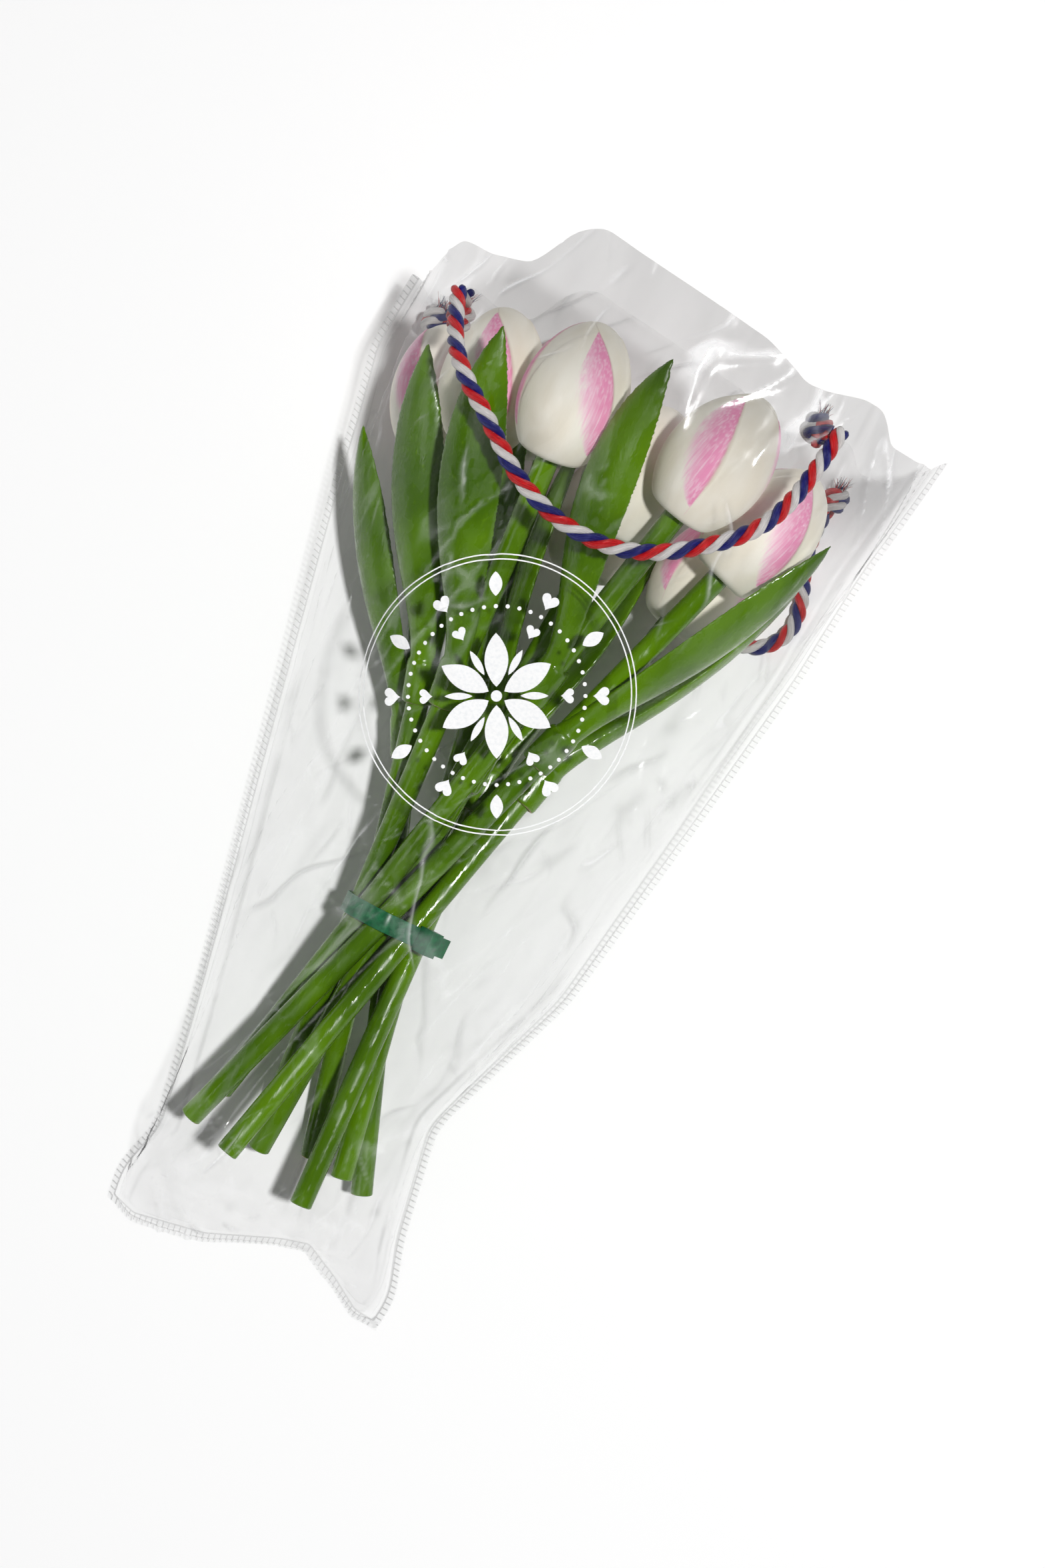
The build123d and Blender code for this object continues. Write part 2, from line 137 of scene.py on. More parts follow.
class Wire:
    """A socket in a material's tree, so that shader maths reads as Python."""

    def __init__(self, tree, socket=None):
        self.tree = tree
        self.socket = socket

    def node(self, kind, settings=(), inputs=(), output=0):
        """Add a node, set it up first, then feed its sockets, and return one of its outputs."""
        made = self.tree.nodes.new(kind)
        for name, value in dict(settings).items():
            setattr(made, name, value)
        for name, value in dict(inputs).items():
            if isinstance(value, Wire):
                self.tree.links.new(value.socket, made.inputs[name])
            elif hasattr(value, "__len__") and made.inputs[name].type == "RGBA":
                made.inputs[name].default_value = (*value[:3], 1)
            else:
                made.inputs[name].default_value = value
        return Wire(self.tree, made.outputs[output])

    def maths(self, operation, *values):
        return self.node("ShaderNodeMath", {"operation": operation}, dict(enumerate(values)))

    def __add__(self, other):
        return self.maths("ADD", self, other)

    def __sub__(self, other):
        return self.maths("SUBTRACT", self, other)

    def __rsub__(self, other):
        return self.maths("SUBTRACT", other, self)

    def __mul__(self, other):
        return self.maths("MULTIPLY", self, other)

    def __truediv__(self, other):
        return self.maths("DIVIDE", self, other)

    def __pow__(self, other):
        return self.maths("POWER", self, other)

    def __lt__(self, other):
        return self.maths("LESS_THAN", self, other)

    def __gt__(self, other):
        return self.maths("GREATER_THAN", self, other)

    __radd__ = __add__
    __rmul__ = __mul__

    def ramp(self, low, high, start=0.0, end=1.0):
        """A smooth step from start to end as the value goes from low to high."""
        return self.node(
            "ShaderNodeMapRange",
            {"interpolation_type": "SMOOTHSTEP"},
            {"Value": self, "From Min": low, "From Max": high, "To Min": start, "To Max": end},
        )

    def mix(self, mask, under, over):
        """One colour laid over another by a mask."""
        return self.node("ShaderNodeMix", {"data_type": "RGBA"}, {0: mask, 6: under, 7: over}, output=2)

    def parts(self, vector):
        """A vector's three values."""
        split = self.tree.nodes.new("ShaderNodeSeparateXYZ")
        self.tree.links.new(vector.socket, split.inputs[0])
        return [Wire(self.tree, socket) for socket in split.outputs]

    def place(self):
        """Where a point lies on its piece."""
        return self.node("ShaderNodeTexCoord", output=3)

    def noted(self, name, output=1):
        """What note() kept for a piece's points: a vector, or from output 2 a value."""
        return self.node("ShaderNodeAttribute", {"attribute_name": name}, output=output)

    def near(self, value, middle, solid, gone):
        """1 within a solid reach of a value's middle, falling to 0 where it is gone."""
        return 1 - self.maths("ABSOLUTE", value - middle).ramp(solid, gone)

    def noise(self, vector, scale, detail=2.0, rough=0.5):
        return self.node(
            "ShaderNodeTexNoise",
            {},
            {"Vector": vector, "Scale": scale, "Detail": detail, "Roughness": rough},
        )

    def stretched(self, vector, scale):
        """The vector with its axes scaled, to draw a pattern out."""
        return self.node("ShaderNodeMapping", {}, {"Vector": vector, "Scale": scale})

    def bump(self, height, distance, strength=1.0):
        return self.node(
            "ShaderNodeBump", {}, {"Height": height, "Distance": distance, "Strength": strength}
        )


def new_finish(name, **constants):
    """A material, its main shader with constants set, and a wire to build its nodes with."""
    finish = bpy.data.materials.new(name)
    finish.use_nodes = True
    shader = finish.node_tree.nodes["Principled BSDF"]
    for socket, value in constants.items():
        shader.inputs[socket.replace("_", " ")].default_value = value
    return finish, shader, Wire(finish.node_tree)


def feed(shader, **links):
    """Lead wires into the shader's sockets."""
    for name, wire in links.items():
        wire.tree.links.new(wire.socket, shader.inputs[name.replace("_", " ")])


def only(piece):
    """Make a piece the only selected and the active one."""
    bpy.ops.object.select_all(action="DESELECT")
    piece.select_set(True)
    bpy.context.view_layer.objects.active = piece


def dress(piece, *finishes):
    """Give a piece these materials and no other."""
    piece.data.materials.clear()
    for finish in finishes:
        piece.data.materials.append(finish)


def apply_modifier(piece, kind, **settings):
    """Add a modifier, set it up and apply it."""
    only(piece)
    modifier = piece.modifiers.new(kind.title(), kind)
    for name, value in settings.items():
        setattr(modifier, name, value)
    bpy.ops.object.modifier_apply(modifier=modifier.name)


def new_piece(name, mesh):
    """A piece in the scene that shows a mesh."""
    piece = bpy.data.objects.new(name, mesh)
    bpy.context.collection.objects.link(piece)
    return piece


def note(piece, name, values, kind="FLOAT_VECTOR"):
    """Keep a vector, or with kind FLOAT a value, for each of a piece's points."""
    entries = piece.data.attributes.new(name, kind, "POINT").data
    entries.foreach_set("value" if kind == "FLOAT" else "vector", np.ravel(values))


def as_line(places):
    """Points as rows of an array."""
    return np.array([tuple(place) for place in places])


def run_along(line):
    """How far along a line each of its points lies."""
    return np.concatenate([[0], np.cumsum(np.linalg.norm(np.diff(line, axis=0), axis=1))])


def merged_copy(node, name):
    """A CAD node's mesh as a new piece, its loose triangles joined."""
    piece = new_piece(name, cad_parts[node].data.copy())
    piece.data.materials.clear()
    only(piece)
    bpy.ops.object.mode_set(mode="EDIT")
    bpy.ops.mesh.select_all(action="SELECT")
    bpy.ops.mesh.remove_doubles(threshold=MERGE_REACH)
    bpy.ops.object.mode_set(mode="OBJECT")
    return piece


def mesh_piece(name, places, faces):
    """A smooth piece from points and faces."""
    mesh = bpy.data.meshes.new(name)
    mesh.from_pydata(as_line(places), [], faces)
    mesh.update()
    mesh.shade_smooth()
    return new_piece(name, mesh)


def stem_line(number):
    """Where a tulip's head starts, and the way up its stem, from its CAD stem."""
    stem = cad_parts[f"stem_{number}"].data
    places = as_line(vertex.co for vertex in stem.vertices)
    middle = places.mean(0)
    way = np.linalg.svd(places - middle, full_matrices=False)[2][0]
    way = way if way[1] > 0 else -way
    reach = ((places - middle) @ way).max() - HEAD_SOCKET
    return Vector(middle + way * reach), Vector(way)


def turned_on_stem(piece, number, degrees, swing=0.0, share=1.0):
    """Turn a piece's mesh about its stem, then swing and shorten it about its hub."""
    foot, up_stem = stem_line(number)
    turn = Matrix.Rotation(math.radians(degrees), 4, up_stem)
    hub = foot + up_stem * min((vertex.co - foot).dot(up_stem) for vertex in piece.data.vertices)
    bend = Matrix.Rotation(math.radians(swing), 4, "Z") @ Matrix.Diagonal((share, share, share, 1))
    piece.data.transform(Matrix.Translation(foot) @ turn @ Matrix.Translation(-foot))
    piece.data.transform(Matrix.Translation(hub) @ bend @ Matrix.Translation(-hub))


def head_axes(number):
    """A head's foot, the way out through its front petal, the way to that petal's right, and the way up."""
    foot, up_stem = stem_line(number)
    top = (Vector((0, 0, 1)) - up_stem * up_stem.z).normalized()
    side = up_stem.cross(top)
    turn = math.radians(HEAD_TURNS[number - 1] + GLUED_TURNS.get(number, 0))
    front = top * math.cos(turn) + side * math.sin(turn)
    return foot, front, up_stem.cross(front), up_stem


def flower_finish(looks):
    """Cream paint with a brushed rose crescent inside each petal's right edge and painted shade along that
    edge, in millimetres.
    """
    finish, shader, wire = new_finish("flower_paint", Roughness=0.5, Specular_IOR_Level=0.35)
    local = wire.noted("head_mm")
    out, side, up = wire.parts(local)
    turned = wire.maths("ARCTAN2", side, out)
    third = 2 * math.pi / 3
    petal = wire.maths("FLOORED_MODULO", turned + third / 2, third) - third / 2
    radius = wire.maths("SQRT", out * out + side * side)
    across = radius * wire.maths("SINE", petal)
    # The petal's outline is the arc that the carving follows: a circle through its foot, belly and tip.
    middle_up, middle_out, bow = 19.50, -19.04, 34.86
    edge = wire.maths("SQRT", wire.maths("MAXIMUM", bow**2 - (up - middle_up) ** 2, 0.0)) + middle_out
    inside = edge - across
    streaks = wire.noise(wire.stretched(local, (1.0, 1.0, 0.05)), 1.1, detail=3.0, rough=0.65)
    crescent_foot, crescent_length, crescent_width = 7.0, 43.5, 14.0
    share = wire.maths("MINIMUM", (up - crescent_foot) / crescent_length, 1.0)
    rounded = wire.maths("SINE", wire.maths("MAXIMUM", share, 0.0) ** 1.4 * math.pi)
    depth = inside / (crescent_width * rounded**0.55 + 0.01) + (streaks - 0.5) * 0.7
    body = (1 - depth.ramp(0.55, 1.05)) * inside.ramp(-0.15, 0.15) * (across > 0.0)
    tone = wire.mix(depth.ramp(0.1, 0.95), looks.rose, looks.blush)
    drift = wire.noise(wire.stretched(local, (1, 1, 0.5)), 0.09)
    ground = wire.mix(drift.ramp(0.3, 0.75), looks.cream, paint(240, 233, 216))
    brush = wire.noise(wire.stretched(local, (1.0, 1.0, 0.08)), 1.3, detail=3.0)
    tone = wire.mix(brush.ramp(0.42, 0.7) * 0.6, tone, paint(252, 222, 234))
    # Painted shade: the paint is darkened towards tan in a thin line along each petal's right edge, from a
    # little above the head's foot.
    painted_groove_shade = wire.near(inside, 0.0, 0.0, 0.55) * up.ramp(6.0, 20.0)
    base = wire.mix(body, ground, tone)
    base = wire.mix(painted_groove_shade * 0.3, base, paint(176, 152, 130))
    relief = brush * 0.5 + streaks * 0.5 + wire.noise(local, 0.35)
    feed(
        shader,
        Base_Color=base,
        Roughness=brush.ramp(0.2, 0.8, 0.42, 0.6),
        Normal=wire.bump(relief, 0.00014, 0.6),
    )
    return finish


def green_finish(looks):
    """Gloss green paint brushed along the wood, bare at the sawn stem ends."""
    finish, shader, wire = new_finish("green_paint", Roughness=0.14, Specular_IOR_Level=0.5)
    place = wire.place()
    runs = wire.noise(wire.stretched(place, (1, 0.16, 1)), 900.0, detail=3.0)
    worn = wire.noise(wire.stretched(place, (1, 0.5, 1)), 210.0, detail=3.0)
    drift = wire.noise(wire.stretched(place, (1, 0.4, 1)), 42.0)
    tone = wire.mix(drift.ramp(0.3, 0.72), looks.green, looks.sap)
    tone = wire.mix(runs.ramp(0.55, 0.85) * 0.4, tone, paint(112, 156, 12))
    _, facing, _ = wire.parts(wire.node("ShaderNodeNewGeometry", output=1))
    sawn = facing < SAWN_FACING
    grain = wire.noise(wire.stretched(place, (1, 1, 3)), 1500.0, detail=3.0)
    wood = wire.mix(grain.ramp(0.3, 0.7), looks.end_grain, paint(150, 120, 84))
    feed(
        shader,
        Base_Color=wire.mix(sawn, tone, wood),
        Roughness=sawn * 0.5 + worn.ramp(0.38, 0.62, 0.09, 0.36),
        Normal=wire.bump(runs + drift * 5.0, 0.0002, 0.7),
    )
    return finish


def tie_finish(looks):
    """Moulded green nylon, a little waxy."""
    finish, shader, wire = new_finish("tie_nylon", Roughness=0.34, Specular_IOR_Level=0.45)
    flow = wire.noise(wire.place(), 500.0, detail=4.0)
    feed(
        shader,
        Base_Color=wire.mix(flow.ramp(0.3, 0.8), looks.tie, paint(18, 112, 66)),
        Roughness=flow.ramp(0.2, 0.8, 0.28, 0.42),
        Normal=wire.bump(flow, 0.00008, 0.5),
    )
    return finish


class TULIPS_OT_flower_heads(bpy.types.Operator):
    """Carve and paint the nine flower heads"""

    bl_idname = "tulips.flower_heads"
    bl_label = "Flower heads"

    def execute(self, context):
        looks = context.scene.tulip_looks
        finish = flower_finish(looks)
        for number in TULIPS:
            head = merged_copy(f"flower_head_{number}", f"carved_head_{number}")
            apply_modifier(head, "REMESH", mode="VOXEL", voxel_size=looks.remesh)
            turned_on_stem(head, number, GLUED_TURNS.get(number, 0))
            foot, *axes = head_axes(number)
            mesh = head.data
            mesh.shade_smooth()
            apply_modifier(head, "SMOOTH", factor=0.5, iterations=3)
            places = np.empty(len(mesh.vertices) * 3)
            mesh.vertices.foreach_get("co", places)
            places = (places.reshape(-1, 3) - np.array(foot)) / MM
            note(head, "head_mm", places @ np.array([tuple(axis) for axis in axes]).T)
            dress(head, finish)
            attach(head, "bunch")
            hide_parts(f"flower_head_{number}")
        return {"FINISHED"}


class TULIPS_OT_greenery(bpy.types.Operator):
    """Paint the stems, and the carved leaves with their edges rounded"""

    bl_idname = "tulips.greenery"
    bl_label = "Stems and leaves"

    def execute(self, context):
        looks = context.scene.tulip_looks
        finish = green_finish(looks)
        for number in TULIPS:
            dress(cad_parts[f"stem_{number}"], finish)
            leaf = merged_copy(f"leaf_{number}", f"carved_leaf_{number}")
            turned_on_stem(leaf, number, *LEAF_FITS.get(number, (0,)))
            apply_modifier(leaf, "BEVEL", width=0.001, segments=2, limit_method="ANGLE", angle_limit=0.6)
            apply_modifier(leaf, "REMESH", mode="VOXEL", voxel_size=looks.leaf_remesh)
            leaf.data.shade_smooth()
            apply_modifier(leaf, "SMOOTH", factor=0.5, iterations=12)
            dress(leaf, finish)
            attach(leaf, "bunch")
            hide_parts(f"leaf_{number}")
        return {"FINISHED"}


class TULIPS_OT_cable_tie(bpy.types.Operator):
    """Finish the cable tie with rounded edges"""

    bl_idname = "tulips.cable_tie"
    bl_label = "Cable tie"

    def execute(self, context):
        tie = merged_copy("cable_tie", "nylon_tie")
        apply_modifier(tie, "BEVEL", width=0.0002, segments=2, limit_method="ANGLE", angle_limit=0.7)
        only(tie)
        bpy.ops.object.shade_smooth_by_angle(angle=math.radians(35))
        dress(tie, tie_finish(context.scene.tulip_looks))
        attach(tie, "bunch")
        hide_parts("cable_tie")
        return {"FINISHED"}


# The bag's cross-sections, as in the CAD model but with a closer neck over the tie: how far along, the reach
# to the left and right, the seam's height, four bends as (across, up), and the floor's corners. Along and up
# are shares of the bag's length and height, and across is a share of half its width.
BAG_LENGTH, BAG_HALF, BAG_TOP = 0.396, 0.1025, 0.128
BAG_ROWS = (
    (0, 0.51, 0.527, 0.0045, (-0.46, 0.0055), (-0.25, 0.007), (0.25, 0.007), (0.47, 0.0055), (0.45, 0.46)),
    (
        0.0126, 0.52, 0.534, 0.0055,
        (-0.47, 0.0065), (-0.25, 0.0085), (0.25, 0.0085), (0.48, 0.0065), (0.46, 0.47),
    ),
    (0.035, 0.53, 0.545, 0.01, (-0.485, 0.1), (-0.3, 0.17), (0.2, 0.17), (0.47, 0.09), (0.46, 0.47)),
    (0.086, 0.47, 0.48, 0.02, (-0.488, 0.35), (-0.314, 0.54), (0.14, 0.54), (0.398, 0.33), (0.42, 0.43)),
    (
        0.202, 0.545, 0.405, 0.03,
        (-0.489, 0.36), (-0.333, 0.545), (0.156, 0.545), (0.385, 0.335), (0.48, 0.36),
    ),
    (0.369, 0.665, 0.644, 0.06, (-0.537, 0.39), (-0.351, 0.56), (0.179, 0.57), (0.487, 0.375), (0.59, 0.57)),
    (0.571, 0.81, 0.776, 0.11, (-0.683, 0.43), (-0.429, 0.67), (0.271, 0.7), (0.605, 0.485), (0.72, 0.69)),
    (0.747, 0.93, 0.88, 0.19, (-0.7875, 0.545), (-0.545, 0.86), (0.39, 0.906), (0.798, 0.61), (0.86, 0.81)),
    (
        0.874, 1, 0.925, 0.235,
        (-0.8546, 0.69), (-0.5876, 0.985), (0.4487, 0.995), (0.8974, 0.656), (0.965, 0.86),
    ),
    (1, 0.97, 1, 0.25, (-0.876, 0.71), (-0.6047, 1), (0.4487, 1), (0.9166, 0.67), (0.955, 0.93)),
)
# The back film rises over the rear rope within a share of the bag's length.
BACK_RISE, RISE_SHARE, FILM = 0.0066, 0.747, 0.0005
FLANGE_COLUMNS = 5  # of a film's columns, in each weld
FILM_ROWS, FRONT_COLUMNS, BACK_COLUMNS = 250, 210, 170


def bag_corners(weld_width, front):
    """The corners of the bag's sections as an array of rows, corners and (x, y, z)."""
    rows = []
    for along, left, right, seam, *rest in BAG_ROWS:
        bends, (floor_left, floor_right) = rest[:-1], rest[-1]
        y, seam_up = (along - 0.5) * BAG_LENGTH, seam * BAG_TOP
        floor = min(along / RISE_SHARE, 1) * BACK_RISE + FILM
        line = [(-left * BAG_HALF - weld_width, seam_up), (-left * BAG_HALF, seam_up)]
        if front:
            line += [(across * BAG_HALF, up * BAG_TOP) for across, up in bends]
        else:
            line += [(-floor_left * BAG_HALF, floor), (floor_right * BAG_HALF, floor)]
        line += [(right * BAG_HALF, seam_up), (right * BAG_HALF + weld_width, seam_up)]
        rows.append([(x, y, z) for x, z in line])
    return np.array(rows)


def blurred(grid, passes, axis):
    """The grid softened along one axis, its straight runs kept up to the edge."""
    pad = [(1, 1) if n == axis else (0, 0) for n in range(3)]
    for _ in range(passes):
        wide = np.pad(grid, pad, mode="reflect", reflect_type="odd")
        low = wide[:-2] if axis == 0 else wide[:, :-2]
        high = wide[2:] if axis == 0 else wide[:, 2:]
        grid = grid * 0.5 + (low + high) * 0.25
    return grid


# Places across the bag, and how far the mouth's edge stands back there from the bag's end, or the bottom's
# edge stands up from the bag's other end, in millimetres.
MOUTH_EDGE = (
    (-107, 28), (-101, 28), (-97, 31), (-93, 29), (-86, 18.5), (-80, 19.5), (-73, 21.5), (-65, 21.5),
    (-58, 20.5), (-54, 13), (-50, 5), (-45, 1), (-40, -1), (-28, 1), (-13, 3), (2, 5), (26, 8.5), (37, 13),
    (44, 16), (51, 15), (65, 9.5), (73, 9), (77, 13), (80, 18), (93, 17), (101, 10), (107, 3.5),
)
BOTTOM_EDGE = ((-60, 1), (-45, -4), (-17, 1), (10, 12), (21, 15), (35, 8), (48, 0), (60, -1))


def edge_shift(table, x, steps=240, passes=6):
    """The shift of an edge at each x, drawn smoothly through a table of millimetres."""
    places, shifts = np.array(table, float).T * MM
    fine = np.linspace(places[0], places[-1], steps)
    drawn = np.interp(fine, places, shifts)
    for _ in range(passes):
        drawn[1:-1] = (drawn[:-2] + 2 * drawn[1:-1] + drawn[2:]) / 4
    return np.interp(x, fine, drawn)


def from_seam(columns):
    """How many columns each column of a film lies inside the nearer seam."""
    return np.minimum(np.arange(columns), np.arange(columns)[::-1]) - FLANGE_COLUMNS


def film_grid(weld_width, front, columns):
    """A film's surface as a grid: even steps along the bag, and across it a fixed share for each panel."""
    corners = bag_corners(weld_width, front)
    runs = np.linalg.norm(np.diff(corners[4:], axis=1), axis=2).mean(0)
    inner = runs[1:-1] / runs[1:-1].sum()
    steps = np.concatenate([[0], np.cumsum(inner)])
    across = np.linspace(0, 1, columns - 2 * FLANGE_COLUMNS)
    panel = np.clip(np.searchsorted(steps, across, side="right") - 1, 0, len(inner) - 1)
    share = (across - steps[panel]) / inner[panel]
    ends = np.zeros(FLANGE_COLUMNS, int)
    panel = np.concatenate([ends, panel + 1, ends + len(runs) - 1])
    flange = np.arange(FLANGE_COLUMNS) / FLANGE_COLUMNS
    share = np.concatenate([flange, share, 1 - flange[::-1]])
    along = np.linspace(0, 1, FILM_ROWS) - 0.5
    stations = corners[:, 0, 1] / BAG_LENGTH
    table = np.empty((FILM_ROWS, corners.shape[1], 3))
    for corner in range(corners.shape[1]):
        for part in range(3):
            table[:, corner, part] = np.interp(along, stations, corners[:, corner, part])
    station_passes, across_passes, along_passes, seam_columns = 14, 40, 10, 9
    table = blurred(table, station_passes, 0)
    grid = table[:, panel] + (table[:, panel + 1] - table[:, panel]) * share[None, :, None]
    soft = blurred(blurred(grid, across_passes, 1), along_passes, 0)
    free = np.clip(from_seam(columns) / seam_columns, 0, 1)[None, :, None]
    grid = grid + (soft - grid) * free * free * (3 - 2 * free)
    x, y = grid[:, :, 0], grid[:, :, 1]
    share = y / BAG_LENGTH + 0.5
    mouth_share, bottom_share = 0.22, 0.07
    grid[:, :, 1] = (
        y
        - edge_shift(MOUTH_EDGE, x) * np.clip((share - 1 + mouth_share) / mouth_share, 0, 1) ** 1.5
        + edge_shift(BOTTOM_EDGE, x) * np.clip((bottom_share - share) / bottom_share, 0, 1)
    )
    return grid


def grid_normals(grid):
    """Unit normals of a grid, up for a film seen from above."""
    along = np.gradient(grid, axis=0)
    across = np.gradient(grid, axis=1)
    way = np.cross(across, along)
    return way / np.maximum(np.linalg.norm(way, axis=2, keepdims=True), 1e-12)


def swells(x, y, size, seed):
    """Smooth seeded noise of -1 to 1 at each (x, y), its cells as wide and long as size."""
    cells, middle = 256, 100
    lattice = np.random.default_rng(seed).uniform(-1, 1, (cells, cells))
    across, along = x / size[0] + middle, y / size[1] + middle
    column, row = np.floor(across).astype(int), np.floor(along).astype(int)
    u, v = (part**3 * (part * (6 * part - 15) + 10) for part in (across - column, along - row))
    corner = [lattice[(row + n // 2) % cells, (column + n % 2) % cells] for n in range(4)]
    return (corner[0] * (1 - u) + corner[1] * u) * (1 - v) + (corner[2] * (1 - u) + corner[3] * u) * v


def folds(x, y, size, seed, turn):
    """Long straight crests that start and end softly, of a given (width, length) and turn from the bag's
    length."""
    cos, sin = math.cos(math.radians(turn)), math.sin(math.radians(turn))
    across, along = x * cos + y * sin, y * cos - x * sin
    wide, long = size
    bend = swells(across, along, (long, long * 1.5), seed + 1) * wide * 0.8
    wave = swells(across + bend, along, size, seed)
    crest = np.clip(1 - np.abs(wave) * 4.5, 0, 1)
    return crest**2 * np.clip(swells(across, along, (wide * 3, long * 0.6), seed + 2) + 0.5, 0, 1)


def runs_of(grid, axis):
    """How far along an axis of a grid each of its points lies."""
    steps = np.linalg.norm(np.diff(grid, axis=axis), axis=2)
    return np.insert(steps, 0, 0, axis=axis).cumsum(axis)


def creased(grid, height, seed):
    """The film with its creases, and how creased each point is. Sizes here are in millimetres."""
    columns = grid.shape[1]
    y = grid[:, :, 1] / MM
    flat = runs_of(grid, 1) / MM
    flat -= flat[:, columns // 2 : columns // 2 + 1]
    free = np.clip(from_seam(columns) / 10, 0, 1)[None, :]
    near_mouth = np.clip((y - 40) / 90, 0, 1)
    near_tail = np.clip((-110 - y) / 40, 0, 1)
    over_stems = np.clip(1 - np.abs(flat + 5) / 55, 0, 1) * (1 - near_mouth)
    long_folds = folds(flat, y, (13, 105), seed, -8)
    fans = folds(flat, y, (15, 90), seed + 10, 24) + folds(flat, y, (12, 70), seed + 20, -32)
    cross = folds(flat, y, (11, 60), seed + 30, 66) * (1 - near_mouth)
    cross += folds(flat, y, (8, 40), seed + 40, 48) * near_tail
    crinkle = folds(flat, y, (4.5, 22), seed + 50, -20) * (0.35 + 0.65 * over_stems + near_tail)
    swell = swells(flat, y, (34, 70), seed + 60)
    lift = 0.7 * long_folds + 0.55 * fans + 0.5 * cross + 0.1 * crinkle + 0.5 * (swell + 0.4)
    crease = np.clip(long_folds + 0.9 * fans + 0.9 * cross + 0.4 * crinkle, 0, 1) * free
    return grid + grid_normals(grid) * (lift * free * height)[:, :, None], crease


def film_piece(name, grid, crease, weld_width):
    """A film as a piece that keeps its creases, and how far inside and along its weld each point lies."""
    rows, columns = grid.shape[:2]
    faces = [
        (r * columns + c, r * columns + c + 1, (r + 1) * columns + c + 1, (r + 1) * columns + c)
        for r in range(rows - 1)
        for c in range(columns - 1)
    ]
    piece = mesh_piece(name, grid.reshape(-1, 3), faces)
    note(piece, "crease", crease, "FLOAT")
    run, left = runs_of(grid, 0), runs_of(grid, 1)
    edge = np.minimum(left, left[:, -1:] - left)
    bottom = (run < weld_width) & (run < edge)
    weld = (np.where(bottom, run, edge), np.where(bottom, left, run), np.zeros_like(run))
    note(piece, "weld_mm", np.stack(weld, axis=2) / MM)
    return piece


def film_finish(name, looks, near_mouth, near_tail):
    """Clear soft film of a given cover near its mouth and its tail: pale along its creases, with thin wrinkle
    lines painted with a lit white side and a shaded grey side, a ladder of small cells along its welds and a
    painted shadow of a fold beside them."""
    finish, shader, wire = new_finish(name, Roughness=0.06, IOR=2.4)
    crease = wire.noted("crease", 2)
    inward, along, _ = wire.parts(wire.noted("weld_mm"))
    ladder_start, rail, fold_line = 0.35, 2.9, 9.5  # in millimetres from the weld's edge
    strip = (1 - inward.ramp(rail - 0.2, rail + 0.2)) * (inward > ladder_start)
    cell = wire.maths("FRACT", along / (looks.weld_pitch / MM))
    rungs = wire.near(cell, 0.5, 0.36, 0.46) * strip
    lines = wire.maths("MAXIMUM", strip - rungs, wire.near(inward, rail, 0.15, 0.4) * 0.8)
    place = wire.place()
    _, lengthwise, _ = wire.parts(place)
    smear = wire.noise(wire.stretched(place, (1, 0.4, 1)), 120.0, detail=4.0, rough=0.6)
    fine = wire.noise(wire.stretched(place, (1, 0.5, 1)), 420.0, detail=3.0)
    drawn = wire.noise(wire.stretched(place, (1, 0.22, 1)), 75.0, detail=3.0)
    # Painted shadow: a soft darker line 9.5 mm inside the weld, where the film rises from its flat strip,
    # broken up along its length.
    painted_fold_shadow = wire.near(inward, fold_line, 0.1, 1.3) * drawn.ramp(0.4, 0.6)
    body = inward.ramp(4.0, 10.0, 0.35, 1.0)
    base = wire.mix(crease.ramp(0.3, 1.0), looks.haze, paint(235, 236, 238))
    painted_wrinkle_cover = 0.0
    # Painted light and shade: thin wrinkle lines in three directions, each painted white on one side and dark
    # grey on the other as if lit from one side, and made more opaque where they lie.
    painted_wrinkle_pitch, painted_wrinkle_drift = 0.0145, 0.034
    for turn, seed in ((0.1, 0.0), (-0.42, 3.7), (0.62, 8.1)):
        shift = {"Vector": place, "Rotation": (0, 0, turn), "Location": (seed, seed, 0)}
        turned = wire.node("ShaderNodeMapping", {}, shift)
        across, _, _ = wire.parts(turned)
        drift = wire.noise(wire.stretched(turned, (1, 0.6, 1)), 30.0, detail=1.5) * painted_wrinkle_drift
        band = wire.maths("FRACT", (across + drift) / painted_wrinkle_pitch) - 0.5
        patch = wire.noise(wire.stretched(turned, (1, 0.3, 1)), 55.0, detail=1.0).ramp(0.58, 0.74)
        painted_wrinkle_light = wire.near(band, 0.0, 0.0, 0.15) * patch * inward.ramp(8.0, 16.0)
        shaded = band.ramp(-0.04, 0.03)
        base = wire.mix(painted_wrinkle_light, base, wire.mix(shaded, paint(252, 252, 254), paint(96, 96, 100)))
        painted_wrinkle_cover = painted_wrinkle_light * (0.26 - shaded * 0.15) + painted_wrinkle_cover
    cover = lengthwise.ramp(0.06, 0.17, near_tail, near_mouth) * body * drawn.ramp(0.3, 0.7, 0.75, 1.25)
    # The painted fold shadow shows as more opaque dark film.
    cover = cover + crease.ramp(0.45, 1.0) * 0.06 + painted_fold_shadow * 0.14 + lines * 0.2 + rungs * 0.02
    # The painted wrinkle light and shade is made more opaque here so that it shows. The film is also made
    # more opaque along its mouth's edge.
    cover = cover + painted_wrinkle_cover + lengthwise.ramp(0.13, 0.18) * near_mouth * 2.2
    feed(
        shader,
        Base_Color=base,
        Alpha=cover,
        Roughness=smear.ramp(0.3, 0.8, 0.04, 0.14) + inward.ramp(5.0, 16.0, 0.4, 0.0),
        Normal=wire.bump(smear + fine * 0.25 + rungs * 0.6, 0.0001, 0.5),
    )
    return finish


